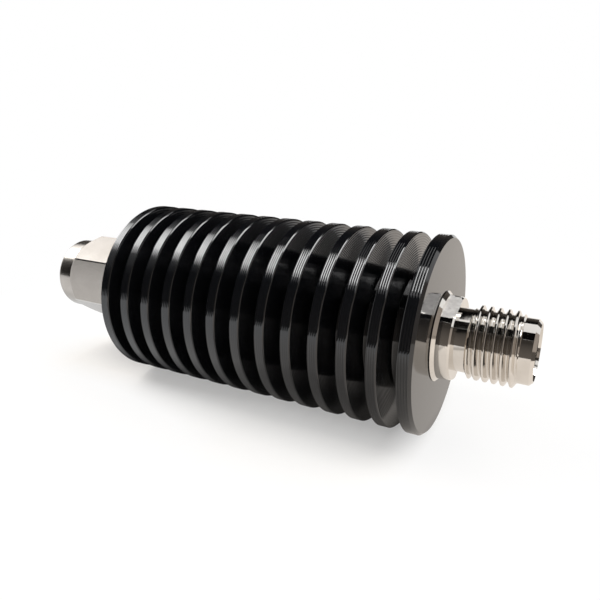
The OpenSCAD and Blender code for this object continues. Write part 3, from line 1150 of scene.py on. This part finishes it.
    def lamp(self, name: str, place: Triple, size: Pair, power: float, aim: Triple, seen: Seen) -> None:
        """Makes one soft lamp, unseen by the camera.

        Args:
            name: its name.
            place: its middle in millimetres.
            size: its two sides in millimetres.
            power: its power in watts.
            aim: the point that it faces, in millimetres.
            seen: which rays it answers to.
        """
        data = bpy.data.lights.new(name, "AREA")
        data.shape = "RECTANGLE"
        data.size, data.size_y = (v * MM for v in size)
        data.energy = power
        lamp = bpy.data.objects.new(name, data)
        lamp.location = Vector(place) * MM
        lamp.rotation_euler = (Vector(aim) * MM - lamp.location).to_track_quat("-Z", "Y").to_euler()
        lamp.visible_camera = False
        lamp.visible_diffuse = seen is not Seen.IN_GLOSS
        lamp.visible_glossy = seen is not Seen.OUT_OF_GLOSS
        bpy.context.scene.collection.objects.link(lamp)

    def lamps(self) -> None:
        """Makes the long panel, its sheen and dim tail, a fill from the right, and a lamp for the fins' edges."""
        for row in self.LAMPS:
            self.lamp(*row)

    def world(self) -> None:
        """Makes the surroundings: white to the eye and in gloss, and a soft fill for the rest."""
        world = bpy.data.worlds.new("white_room")
        world.use_nodes = True
        s = NodeSketch(world.node_tree)
        rays = s.add("ShaderNodeLightPath").outputs
        seen = s.math("MAXIMUM", s.math("MAXIMUM", rays["Is Camera Ray"], rays["Is Glossy Ray"]),
                      rays["Is Transmission Ray"])
        s.feed(world.node_tree.nodes["Background"], {
            "Color": (1.0, 1.0, 1.0, 1.0), "Strength": s.spread(seen, self.room, 1.0)})
        bpy.context.scene.world = world

    def camera(self) -> None:
        """Makes the camera at the photograph's viewing angle."""
        data = bpy.data.cameras.new("camera")
        data.lens = self.lens
        data.sensor_width = self.sensor
        data.sensor_fit = "HORIZONTAL"
        data.clip_start, data.clip_end = (v * MM for v in self.clip)
        camera = bpy.data.objects.new("camera", data)
        camera.location = Vector(self.camera_place) * MM
        camera.rotation_euler = Vector(self.camera_forward).to_track_quat("-Z", "Y").to_euler()
        bpy.context.scene.collection.objects.link(camera)
        bpy.context.scene.camera = camera

    def build(self) -> None:
        """Makes the whole studio."""
        self.camera()
        self.floor()
        self.flags()
        self.lamps()
        self.world()
        bpy.context.scene.view_settings.view_transform = "Standard"


# The finishes of the pieces whose solids stay, and the nodes that take them
INNER_FINISHES: tuple[tuple[Plain, tuple[str, ...]], ...] = (
    (Plain("white_insulator", (0.84, 0.83, 0.79), (0.93, 0.92, 0.89), 0.38, 0.55),
     ("jack_insulator", "plug_insulator")),
    (Plain("gold_plating", (0.70, 0.50, 0.18), (0.85, 0.66, 0.28), 0.16, 0.28, metallic=1.0,
           grain=2600.0, relief=1.5e-6),
     ("jack_contact", "plug_pin", "input_tab", "output_tab")),
    (Plain("gasket_rubber", (0.42, 0.10, 0.05), (0.52, 0.14, 0.07), 0.55, 0.75), ("plug_gasket",)),
    (Plain("spring_bronze", (0.52, 0.33, 0.15), (0.66, 0.45, 0.22), 0.25, 0.4, metallic=1.0),
     ("nut_retaining_ring",)),
    (Plain("bare_brass", (0.58, 0.42, 0.16), (0.72, 0.54, 0.24), 0.25, 0.42, metallic=1.0),
     ("carrier_base", "carrier_cover")),
    (Plain("chip_ceramic", (0.78, 0.77, 0.72), (0.88, 0.87, 0.83), 0.5, 0.65), ("attenuator_chip",)),
    (Plain("solder", (0.45, 0.45, 0.45), (0.6, 0.6, 0.6), 0.35, 0.5, metallic=1.0), ("chip_solder",)),
    (Plain("resistor_film", (0.010, 0.010, 0.011), (0.022, 0.021, 0.022), 0.45, 0.6), ("resistor_film",)),
    (Plain("film_glaze", (0.008, 0.035, 0.025), (0.014, 0.055, 0.040), 0.12, 0.2), ("film_glaze",)),
    (Plain("silver_film", (0.62, 0.62, 0.60), (0.76, 0.76, 0.73), 0.35, 0.5, metallic=1.0),
     ("input_terminal", "output_terminal", "front_ground_strip", "rear_ground_strip")))


def main() -> None:
    """Builds the dressed object and the studio in order."""
    logging.basicConfig(level=logging.INFO, format="%(message)s")
    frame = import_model()
    anodised = Anodised().material()
    bright = Plated("bright_plating").material()
    milled = Plated("milled_plating", (0.53, 0.505, 0.485), (0.77, 0.745, 0.72), smooth=0.36, rough=0.46,
                    mark_scale=5200.0, mark_depth=7.0e-6, along_axis=True, metallic=0.12,
                    cloud_scale=2200.0).material()
    nut_dark, nut_pale = (0.455, 0.418, 0.378), (0.545, 0.502, 0.462)
    satin = Plated("satin_plating", nut_dark, nut_pale, smooth=0.17, rough=0.27, mark_scale=5200.0,
                   mark_depth=3.0e-6, along_axis=True).material()
    turned = Plated("turned_plating", nut_dark, nut_pale, smooth=0.15, rough=0.24, mark_scale=7000.0,
                    mark_depth=1.5e-6).material()
    inner = {"plug_body": bright}
    for finish, nodes in INNER_FINISHES:
        inner.update(dict.fromkeys(nodes, finish.material()))

    for piece in (HeatSink().build(anodised), JackBody().build(bright, milled),
                  CouplingNut().build(turned, satin, bright)):
        LOG.info("built %s, %d faces", piece.name, len(piece.data.polygons))
    InnerPieces(frame["nodes"]).dress(inner)
    Studio().build()


if __name__ == "__main__":
    main()
